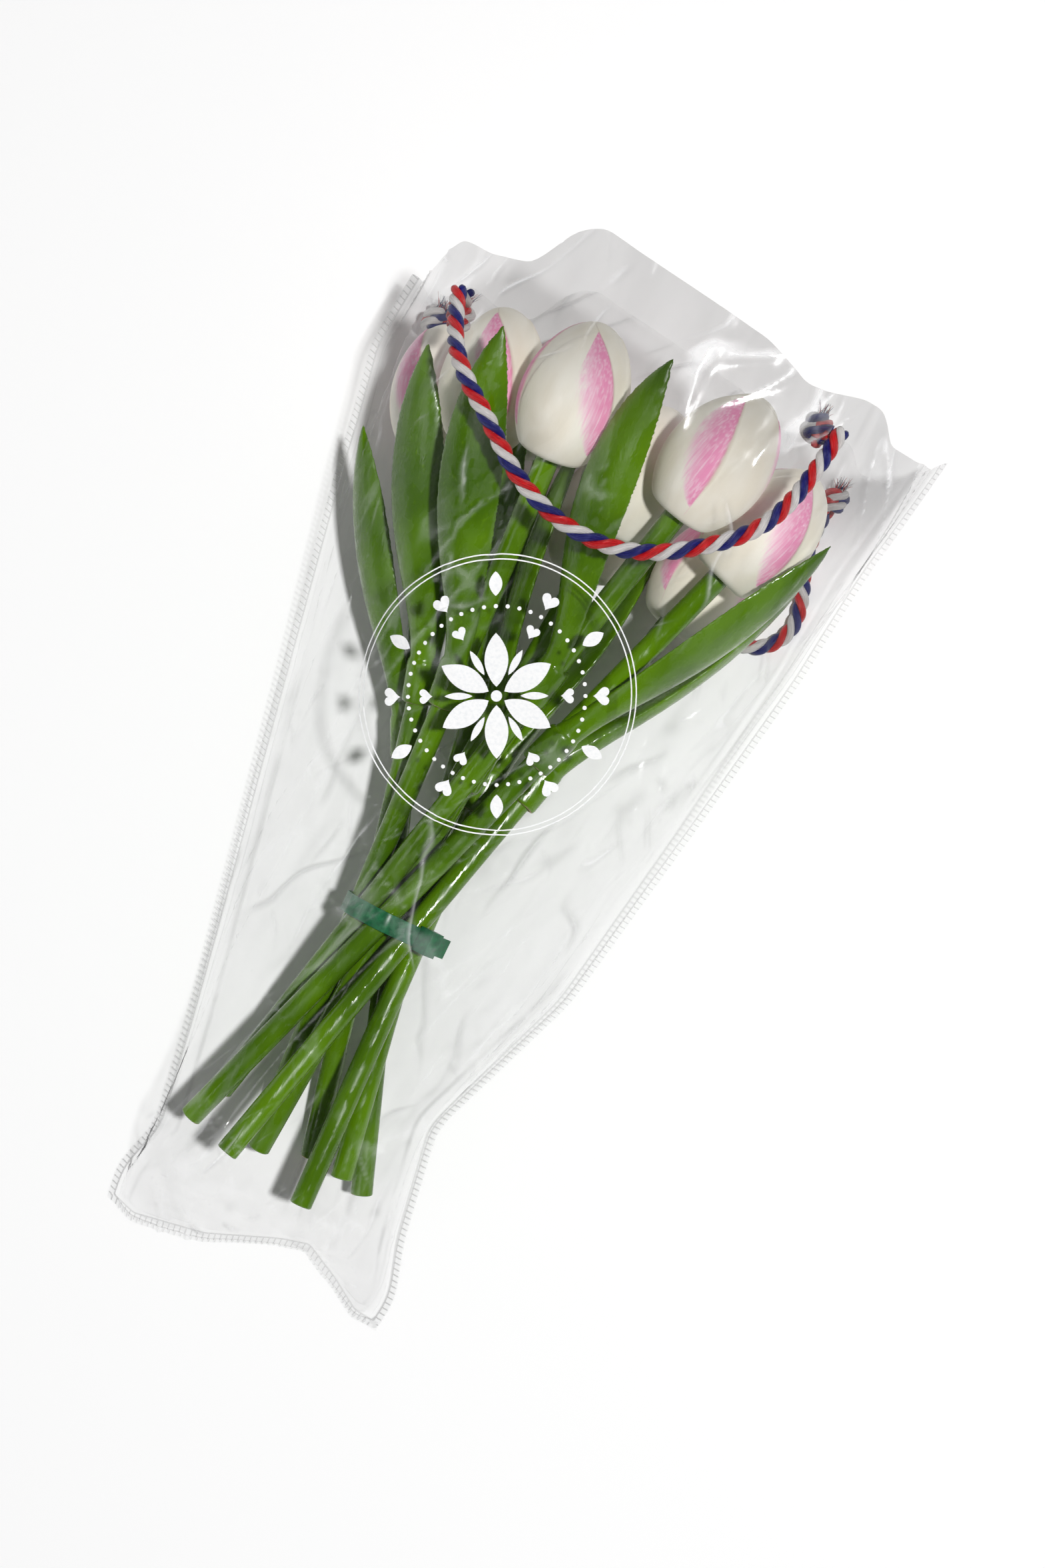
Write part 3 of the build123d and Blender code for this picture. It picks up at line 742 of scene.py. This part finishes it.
def front_surface(looks):
    """The finished front film as a grid, a little above the bunch, with its creases."""
    lift, seed = 0.0006, 3
    grid = film_grid(looks.weld_width, True, FRONT_COLUMNS)
    grid += grid_normals(grid) * lift
    return creased(grid, looks.crease, seed)


def back_surface(looks):
    """The finished back film as a grid, a little above the table, with its ripples."""
    sunk, lowest, height, still_columns = 0.00025, 0.0006, 0.0004, 7
    grid = film_grid(looks.weld_width, False, BACK_COLUMNS)
    grid[:, :, 2] = np.maximum(grid[:, :, 2] - sunk, lowest)
    x, y = grid[:, :, 0] / MM, grid[:, :, 1] / MM
    ripple = folds(x, y, (12, 80), 300, 20) + folds(x, y, (9, 60), 320, -25)
    ripple = ripple * (from_seam(BACK_COLUMNS) >= still_columns)
    grid[:, :, 2] += ripple * height
    return grid, ripple * 0.7


class TULIPS_OT_films(bpy.types.Operator):
    """Lay the front film over the bunch and the back film under it"""

    bl_idname = "tulips.films"
    bl_label = "Bag films"

    def execute(self, context):
        looks = context.scene.bag_looks
        front = film_piece("front_sheet", *front_surface(looks), looks.weld_width)
        back = film_piece("back_sheet", *back_surface(looks), looks.weld_width)
        for piece, node, finish in (
            (front, "front_film", film_finish("clear_film", looks, 0.11, 0.07)),
            (back, "back_film", film_finish("clear_film_back", looks, 0.02, 0.03)),
        ):
            dress(piece, finish)
            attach(piece, "bag")
            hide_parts(node)
        return {"FINISHED"}


# Each handle's route from its left hole to its right one, in millimetres.
FRONT_ROUTE = (
    (-78.9752, 161.806, 108.496), (-74.5, 148.5, 114.8), (-65.5, 135.0, 126.2), (-47.0, 122.0, 124.6),
    (-31.0, 109.5, 119.6), (-8.0, 101.5, 118.2), (17.0, 103.5, 120.3), (40.0, 118.0, 126.4),
    (53.5, 132.5, 124.2), (60.0, 152.5, 120.4), (62.5, 174.5, 118.9),
)
REAR_ROUTE = (
    (-92.9687, 165.924, 3.05), (-89.0, 144.0, 3.05), (-66.0, 125.0, 3.05), (-30.0, 117.5, 3.05),
    (10.0, 115.5, 3.05), (47.0, 107.0, 3.05), (71.0, 99.5, 3.05), (83.5, 109.5, 3.05),
    (84.5, 124.0, 3.05), (74.0, 147.5, 3.05), (76.6505, 165.924, 3.05),
)
ROPE_STEP = 0.0007
HAIR_POINTS = 6  # along each hair of a frayed tail; a strand has more


def smooth_route(places, step):
    """Evenly spaced points along the smooth curve that these points steer, in metres, and its length."""
    curve = bpy.data.curves.new("route", "CURVE")
    curve.dimensions = "3D"
    curve.resolution_u = 32
    spline = curve.splines.new("NURBS")
    spline.points.add(len(places) - 1)
    for point, place in zip(spline.points, places):
        point.co = (*(Vector(place) * MM), 1)
    spline.order_u = 3
    spline.use_endpoint_u = True
    guide = new_piece("route", curve)
    drawn = bpy.data.meshes.new_from_object(guide)
    line = as_line(vertex.co for vertex in drawn.vertices)
    bpy.data.objects.remove(guide)
    bpy.data.meshes.remove(drawn)
    bpy.data.curves.remove(curve)
    run = run_along(line)
    even = np.linspace(0, run[-1], max(8, round(run[-1] / step)))
    return np.stack([np.interp(even, run, line[:, part]) for part in range(3)], axis=1), run[-1]


def turning_frames(line):
    """Two directions square to the line and each other at each point, carried along without twisting."""
    tangents = np.gradient(line, axis=0)
    tangents /= np.linalg.norm(tangents, axis=1, keepdims=True)
    first = np.cross(tangents[0], (0.3, 0.2, 1))
    first /= np.linalg.norm(first)
    sides = [first]
    for tangent in tangents[1:]:
        side = sides[-1] - tangent * sides[-1].dot(tangent)
        sides.append(side / np.linalg.norm(side))
    sides = np.array(sides)
    return sides, np.cross(tangents, sides)


def tube(line, radii, around, first_vertex):
    """Points, faces and (round, along) places of a closed tube."""
    places, faces, threads = [], [], []
    for centre, side, up, radius, gone in zip(line, *turning_frames(line), radii, run_along(line)):
        for spoke in range(around):
            turn = 2 * math.pi * spoke / around
            places.append(centre + (side * math.cos(turn) + up * math.sin(turn)) * radius)
            threads.append((math.cos(turn), math.sin(turn), gone / MM))
    for ring in range(len(line) - 1):
        for spoke in range(around):
            low, next_low = ring * around + spoke, ring * around + (spoke + 1) % around
            faces.append([first_vertex + n for n in (low, next_low, next_low + around, low + around)])
    last = first_vertex + (len(line) - 1) * around
    faces.append([first_vertex + n for n in range(around)][::-1])
    faces.append([last + n for n in range(around)])
    return places, faces, threads


def laid_strands(line, looks, taper, phase):
    """Three strands laid round a rope's line, longer in the lay at its middle: (line, radii, number) each."""
    strand_share, pressed, rounding = 0.464, 1.04, 0.0008
    strand = looks.diameter / 2 * strand_share
    offset = looks.diameter / 2 - strand
    sides, ups = turning_frames(line)
    run = run_along(line)
    lay = looks.lay * (0.78 + 0.34 * np.sin(math.pi * run / run[-1]))
    wound_so_far = np.concatenate([[0], np.cumsum(np.diff(run) / lay[1:])])
    radii = np.full(len(line), strand * pressed)
    if taper:
        radii *= np.clip(np.minimum(run, run[-1] - run) / rounding, 0.25, 1) ** 0.5
    strands = []
    for number in range(3):
        turn = 2 * math.pi * (number / 3 - wound_so_far) + phase
        wound = line + (sides * np.cos(turn)[:, None] + ups * np.sin(turn)[:, None]) * offset
        strands.append((wound, radii, number))
    return strands


def rope_piece(name, parts, finishes, around=12, hair_around=5):
    """Strands of (line, radii, colour number) as one piece, its short hairs with fewer sides."""
    places, faces, threads, numbers = [], [], [], []
    for line, radii, number in parts:
        more = tube(line, radii, around if len(line) > HAIR_POINTS else hair_around, len(places))
        places += more[0]
        faces += more[1]
        threads += more[2]
        numbers += [number] * len(more[1])
    piece = mesh_piece(name, places, faces)
    note(piece, "thread", threads)
    dress(piece, *finishes)
    piece.data.polygons.foreach_set("material_index", numbers)
    return piece


def strand_finish(name, tone, dark):
    """Satin filaments laid along a strand."""
    finish, shader, wire = new_finish(name, Roughness=0.3, Specular_IOR_Level=0.45)
    fibre = wire.noise(wire.stretched(wire.noted("thread"), (7, 7, 0.16)), 2.0, detail=3.0, rough=0.7)
    feed(
        shader,
        Base_Color=wire.mix(fibre.ramp(0.35, 0.7), dark, tone),
        Roughness=fibre.ramp(0.2, 0.8, 0.18, 0.36),
        Normal=wire.bump(fibre, 0.0004, 0.8),
    )
    return finish


def rope_finishes(looks):
    return [
        strand_finish("rope_red", looks.red, paint(150, 2, 10)),
        strand_finish("rope_white", looks.white, paint(184, 180, 180)),
        strand_finish("rope_navy", looks.navy, paint(4, 6, 66)),
    ]


class TULIPS_OT_handles(bpy.types.Operator):
    """Lay the two three-strand rope handles"""

    bl_idname = "tulips.handles"
    bl_label = "Rope handles"

    def execute(self, context):
        looks = context.scene.rope_looks
        finishes = rope_finishes(looks)
        for name, route, body, node, phase in (
            ("front_rope", FRONT_ROUTE, "front_grip", "front_handle", 0.6),
            ("rear_rope", REAR_ROUTE, "rear_grip", "rear_handle", 2.0),
        ):
            line, long = smooth_route(route, ROPE_STEP)
            piece = rope_piece(name, laid_strands(line, looks, True, phase), finishes)
            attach(piece, body)
            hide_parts(node)
        return {"FINISHED"}


def hole_frames():
    """Each knot's name, its hole's centre on the film's inner face, and the way out through the film."""
    corners = bag_corners(WELD_WIDTH, True)
    stations = corners[:, 0, 1]

    def on_front(along, panel, share):
        """A hole along the bag and across one of the front film's panels, both as shares."""
        y = (along - 0.5) * BAG_LENGTH
        low, high = (
            np.array([np.interp(y, stations, corners[:, corner, part]) for part in range(3)])
            for corner in (panel, panel + 1)
        )
        way = (high - low) / np.linalg.norm(high - low)
        return Vector(low + (high - low) * share), Vector((-way[2], 0, way[0]))

    rear_y, rear_z, down = 0.165924, 0.0071, Vector((0, 0, -1))
    return (
        ("front_left_knot", *on_front(0.9086, 2, 0.4545)),
        ("front_right_knot", *on_front(0.934, 4, 0.28)),
        ("rear_left_knot", Vector((-0.092969, rear_y, rear_z)), down),
        ("rear_right_knot", Vector((0.076651, rear_y, rear_z)), down),
    )


# How far each knot hangs from its hole: towards the bag's right, its mouth and up, in millimetres.
KNOT_SHIFTS = ((-4.5, -7, -5), (-1, 0, 0), (2, -5, 0), (0, 0, 0))
KNOT_DEPTH, KNOT_LENGTH, KNOT_REACH, KNOT_TURNS = 0.0057, 0.0072, 0.00235, 2.1
KNOT_POINTS, STUB_POINTS, HAIRS = 90, 24, 26


class TULIPS_OT_knots(bpy.types.Operator):
    """Tie the four knots inside the film, with their frayed tails"""

    bl_idname = "tulips.knots"
    bl_label = "Knots"

    def execute(self, context):
        looks = context.scene.rope_looks
        finishes = rope_finishes(looks)
        for count, ((name, hole, way), shift) in enumerate(zip(hole_frames(), KNOT_SHIFTS)):
            middle = hole - way * KNOT_DEPTH + Vector(shift) * MM
            along = Vector((0, 1, 0))
            side = along.cross(way)
            turns = []
            for share in np.linspace(0, 1, KNOT_POINTS):
                turn = 2 * math.pi * KNOT_TURNS * share
                round_it = (way * math.cos(turn) + side * math.sin(turn)) * KNOT_REACH
                turns.append(middle + along * ((share - 0.5) * KNOT_LENGTH) + round_it)
            parts = laid_strands(as_line(turns), looks, True, count * 1.3)
            mouth = hole + way * 0.0007
            stub = [middle.lerp(mouth, share) for share in np.linspace(0, 1, STUB_POINTS)]
            parts += laid_strands(as_line(stub), looks, False, count * 2.1)
            generator = np.random.default_rng(40 + count)
            shares = np.linspace(0, 1, HAIR_POINTS)
            thinning = np.linspace(0.00016, 0.00004, HAIR_POINTS)
            for hair in range(HAIRS):
                start = middle + along * 0.0045 + side * (generator.uniform(-1, 1) * 0.002)
                start += way * (generator.uniform(-1, 1) * 0.0018)
                lean = Vector(generator.uniform(-1, 1, 3)) * 0.45
                heading = (along + side * lean.x + way * (lean.y - 0.15)).normalized()
                reach = generator.uniform(0.003, 0.006)
                curl = side * generator.uniform(-0.002, 0.002)
                wisp = [start + heading * (reach * share) + curl * share * share for share in shares]
                parts.append((as_line(wisp), thinning, hair % 3))
            piece = rope_piece(f"tied_{name}", parts, finishes, around=10)
            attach(piece, "bag")
            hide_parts(name)
        return {"FINISHED"}


def on_ring(radius, share):
    return radius * math.cos(2 * math.pi * share), radius * math.sin(2 * math.pi * share)


def ring_outline(radius, count):
    return [on_ring(radius, n / count) for n in range(count)]


def petal_outline(long, wide, count=14):
    """A pointed oval that starts at the origin and runs along +y."""
    rise = [(wide / 2 * math.sin(math.pi * n / count) ** 0.8, long * n / count) for n in range(count + 1)]
    return rise + [(-x, y) for x, y in rise[-2:0:-1]]


def heart_outline(size, count=28):
    places = []
    for n in range(count):
        turn = 2 * math.pi * n / count
        x = 16 * math.sin(turn) ** 3
        y = 13 * math.cos(turn) - 5 * math.cos(2 * turn) - 2 * math.cos(3 * turn) - math.cos(4 * turn)
        places.append((x * size / 32, y * size / 32))
    return places


def print_shapes():
    """Flat outlines of the printed rosette and its two rings, in millimetres from the rosette's middle."""
    shapes = []

    def put(outline, count, away, late=0.0):
        """Set an outline out from the middle, count times round, the first one late by a share of a step."""
        for n in range(count):
            turn = 2 * math.pi * (n + late) / count
            cos, sin = math.cos(turn), math.sin(turn)
            shapes.append([(x * cos - (y + away) * sin, x * sin + (y + away) * cos) for x, y in outline])

    put(petal_outline(19, 8.4), 6, 3.2)
    put(petal_outline(10, 2.6), 6, 8.5, late=0.5)
    put(heart_outline(5.2), 6, 25.5, late=0.5)
    put(ring_outline(2.0, 20), 1, 0)
    put(ring_outline(0.75, 10), 48, 31.5)
    put(petal_outline(8.5, 4.6), 6, 35.0)
    put(heart_outline(6.4), 6, 37.5, late=0.5)
    count, thick = 120, 0.45
    for radius in (47.5, 49.2):
        for n in range(count):
            inner = [on_ring(radius, (n + step) / count) for step in (0, 1)]
            outer = [on_ring(radius + thick, (n + step) / count) for step in (1, 0)]
            shapes.append(inner + outer)
    return shapes


class TULIPS_OT_print(bpy.types.Operator):
    """Print a plain white rosette on the front film"""

    bl_idname = "tulips.film_print"
    bl_label = "Print"

    def execute(self, context):
        looks = context.scene.bag_looks
        grid, _ = front_surface(looks)
        away = grid_normals(grid)
        flat = bmesh.new()
        for outline in print_shapes():
            flat.faces.new([flat.verts.new((x, y, 0)) for x, y in outline])
        bmesh.ops.triangulate(flat, faces=flat.faces[:])
        longest = 2.2
        for _ in range(4):
            long = [edge for edge in flat.edges if edge.calc_length() > longest]
            if not long:
                break
            bmesh.ops.subdivide_edges(flat, edges=long, cuts=1)
            bmesh.ops.triangulate(flat, faces=flat.faces[:])
        middle_x, middle_y, lift = -0.005, 0.040, 0.00012
        cos, sin = math.cos(VIEW_TILT), math.sin(VIEW_TILT)
        rows, columns = grid.shape[:2]
        ys = grid[:, columns // 2, 1]
        for vertex in flat.verts:
            x = middle_x + (vertex.co.x * cos - vertex.co.y * sin) * MM
            y = middle_y + (vertex.co.x * sin + vertex.co.y * cos) * MM
            row = min(rows - 2, max(0, int(np.searchsorted(ys, y)) - 1))
            share = (y - ys[row]) / (ys[row + 1] - ys[row])
            line = grid[row] + (grid[row + 1] - grid[row]) * share
            facing = away[row] + (away[row + 1] - away[row]) * share
            xs = np.maximum.accumulate(line[:, 0])
            raised = line + facing * lift
            vertex.co = Vector([np.interp(x, xs, raised[:, part]) for part in range(3)])
        bmesh.ops.remove_doubles(flat, verts=flat.verts[:], dist=MERGE_REACH / 2)
        mesh = bpy.data.meshes.new("film_print")
        flat.to_mesh(mesh)
        flat.free()
        mesh.shade_smooth()
        piece = new_piece("film_print", mesh)
        finish, shader, wire = new_finish("white_ink", Roughness=0.35)
        speck = wire.noise(wire.place(), 900.0, detail=4.0)
        feed(
            shader,
            Base_Color=wire.mix(speck.ramp(0.35, 0.8), looks.ink, paint(236, 238, 240)),
            Roughness=speck.ramp(0.2, 0.8, 0.28, 0.45),
            Normal=wire.bump(speck, 0.00003, 0.4),
        )
        dress(piece, finish)
        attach(piece, "bag")
        return {"FINISHED"}


# To these rays the floor is plain white far from the bag.
LIT_RAYS = ("Is Camera Ray", "Is Glossy Ray", "Is Transmission Ray")


class TULIPS_OT_stage(bpy.types.Operator):
    """Set the floor, the lamps and the camera"""

    bl_idname = "tulips.stage"
    bl_label = "Stage"

    def execute(self, context):
        looks = context.scene.stage_looks
        scene = context.scene
        bpy.ops.object.select_all(action="DESELECT")
        bpy.ops.mesh.primitive_plane_add(size=6, location=(0, 0, -0.0002))
        floor = context.active_object
        floor.name = "floor"
        finish, shader, wire = new_finish("floor", Roughness=0.9, Emission_Strength=1.0)
        across, along, _ = wire.parts(wire.place())
        away = wire.maths("SQRT", across * across + along * along).ramp(0.5, 1.6)
        ray = [wire.node("ShaderNodeLightPath", output=name) for name in LIT_RAYS]
        away = away * wire.maths("MAXIMUM", wire.maths("MAXIMUM", ray[0], ray[1]), ray[2])
        feed(
            shader,
            Base_Color=wire.mix(away, looks.floor, (0, 0, 0)),
            Emission_Color=wire.mix(away, (0, 0, 0), (1, 1, 1)),
        )
        dress(floor, finish)
        turn = Matrix.Rotation(VIEW_TILT, 3, "Z")
        aim = Vector((0, 0, 0.05))
        # Lamps stand to the right, up and above as the camera sees them.
        for name, place, size, power in (
            ("key", (0.56, 0.03, 2.4), 0.13, looks.key_power),
            ("fill", (-1.3, -0.5, 2.2), 1.0, looks.key_power * 0.1),
        ):
            lamp = bpy.data.lights.new(name, "AREA")
            lamp.size = size
            lamp.energy = power
            holder = bpy.data.objects.new(name, lamp)
            holder.location = turn @ Vector(place)
            holder.rotation_euler = (aim - holder.location).to_track_quat("-Z", "Y").to_euler()
            scene.collection.objects.link(holder)
        world = bpy.data.worlds.new("surroundings")
        world.use_nodes = True
        wire = Wire(world.node_tree)
        _, _, rise = wire.parts(wire.node("ShaderNodeTexCoord"))
        background = world.node_tree.nodes["Background"]
        background.inputs["Color"].default_value = (1, 1, 1, 1)
        feed(background, Strength=rise.ramp(0.06, 0.3, 1.0, looks.sky))
        scene.world = world
        camera = bpy.data.cameras.new("camera")
        camera.sensor_fit = "VERTICAL"
        camera.sensor_height = 24
        camera.lens = 43.503
        holder = bpy.data.objects.new("camera", camera)
        holder.location = (0.017, 0.016, 1.1)
        holder.rotation_euler = (0, 0, VIEW_TILT)
        scene.collection.objects.link(holder)
        scene.camera = holder
        scene.view_settings.view_transform = "Standard"
        return {"FINISHED"}


class TULIPS_PT_sidebar(bpy.types.Panel):
    """Lists the steps that dress the model"""

    bl_idname = "TULIPS_PT_sidebar"
    bl_label = "Wooden tulips"
    bl_space_type = "VIEW_3D"
    bl_region_type = "UI"
    bl_category = "Tulips"

    def draw(self, context):
        for operator in OPERATORS:
            self.layout.operator(operator.bl_idname)


SETTINGS = {
    "tulip_looks": TulipSettings,
    "bag_looks": BagSettings,
    "rope_looks": RopeSettings,
    "stage_looks": StageSettings,
}
OPERATORS = (
    TULIPS_OT_stage,
    TULIPS_OT_handles,
    TULIPS_OT_knots,
    TULIPS_OT_flower_heads,
    TULIPS_OT_greenery,
    TULIPS_OT_cable_tie,
    TULIPS_OT_films,
    TULIPS_OT_print,
)


def register():
    for group in SETTINGS.values():
        bpy.utils.register_class(group)
    for name, group in SETTINGS.items():
        setattr(bpy.types.Scene, name, bpy.props.PointerProperty(type=group))
    for made in (*OPERATORS, TULIPS_PT_sidebar):
        bpy.utils.register_class(made)


def unregister():
    for made in (TULIPS_PT_sidebar, *reversed(OPERATORS)):
        bpy.utils.unregister_class(made)
    for name in SETTINGS:
        delattr(bpy.types.Scene, name)
    for group in reversed(list(SETTINGS.values())):
        bpy.utils.unregister_class(group)


def main():
    """Run each step."""
    register()
    bpy.ops.object.select_all(action="DESELECT")
    for operator in OPERATORS:
        family, step = operator.bl_idname.split(".")
        getattr(getattr(bpy.ops, family), step)()


if __name__ == "__main__":
    main()
